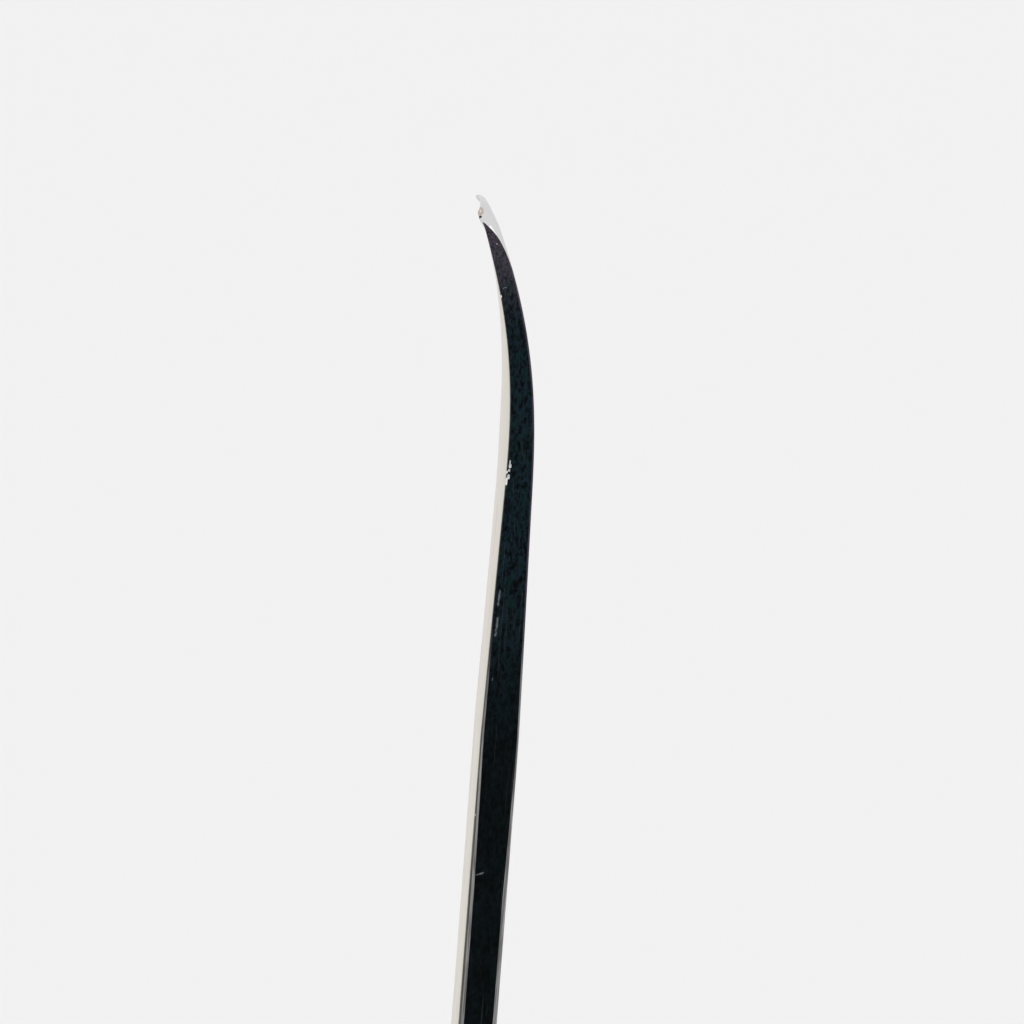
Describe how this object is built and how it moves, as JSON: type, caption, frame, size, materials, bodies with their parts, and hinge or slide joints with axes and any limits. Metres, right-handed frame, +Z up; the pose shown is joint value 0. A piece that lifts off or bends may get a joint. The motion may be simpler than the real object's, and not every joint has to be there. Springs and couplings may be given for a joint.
{
  "type": "ice hockey stick",
  "caption": "Left-handed senior ice hockey stick: hollow composite shaft with a taped handle, bonded hosel, and a curved foam-cored blade with a hard black running edge.",
  "frame": {"origin": "centre of the butt's flat end, on the line of the shaft", "axes": "+Z up the shaft from the butt to the blade, X across the shaft's wide side with the toe pointing to -X and up, -Y out of the blade's hollow forehand face"},
  "size_m": [0.2535, 0.0291, 1.7218],
  "materials": {
    "blade_paint": "satin off-white paint over carbon laminate",
    "black_edge": "hard black resin strip, rubbed satin by the ice",
    "shaft_finish": "satin black clear coat over woven carbon",
    "hosel_finish": "satin black paint fading to the blade's off-white",
    "bare_carbon": "bare woven carbon laminate",
    "white_tape": "cotton cloth tape, handled",
    "plug_plastic": "moulded black plastic",
    "core_foam": "rigid closed-cell foam",
    "heel_filler": "dense syntactic filler",
    "adhesive": "cured epoxy"
  },
  "bodies": {
    "root": {"butt_plug": "plug_plastic", "plug_adhesive": "adhesive", "knob_tape": "white_tape", "grip_tape": "white_tape", "shaft_tube": "shaft_finish", "joint_wrap": "bare_carbon", "tenon_adhesive": "adhesive", "hosel_tenon": "bare_carbon", "hosel_shell": "hosel_finish", "hosel_core": "core_foam", "heel_block": "heel_filler", "lower_core": "core_foam", "core_bridge": "bare_carbon", "upper_core": "core_foam", "forehand_skin": "blade_paint", "backhand_skin": "blade_paint", "running_edge": "black_edge", "toe_edge": "blade_paint", "top_edge": "blade_paint", "heel_edge": "black_edge"}
  },
  "joints": []
}
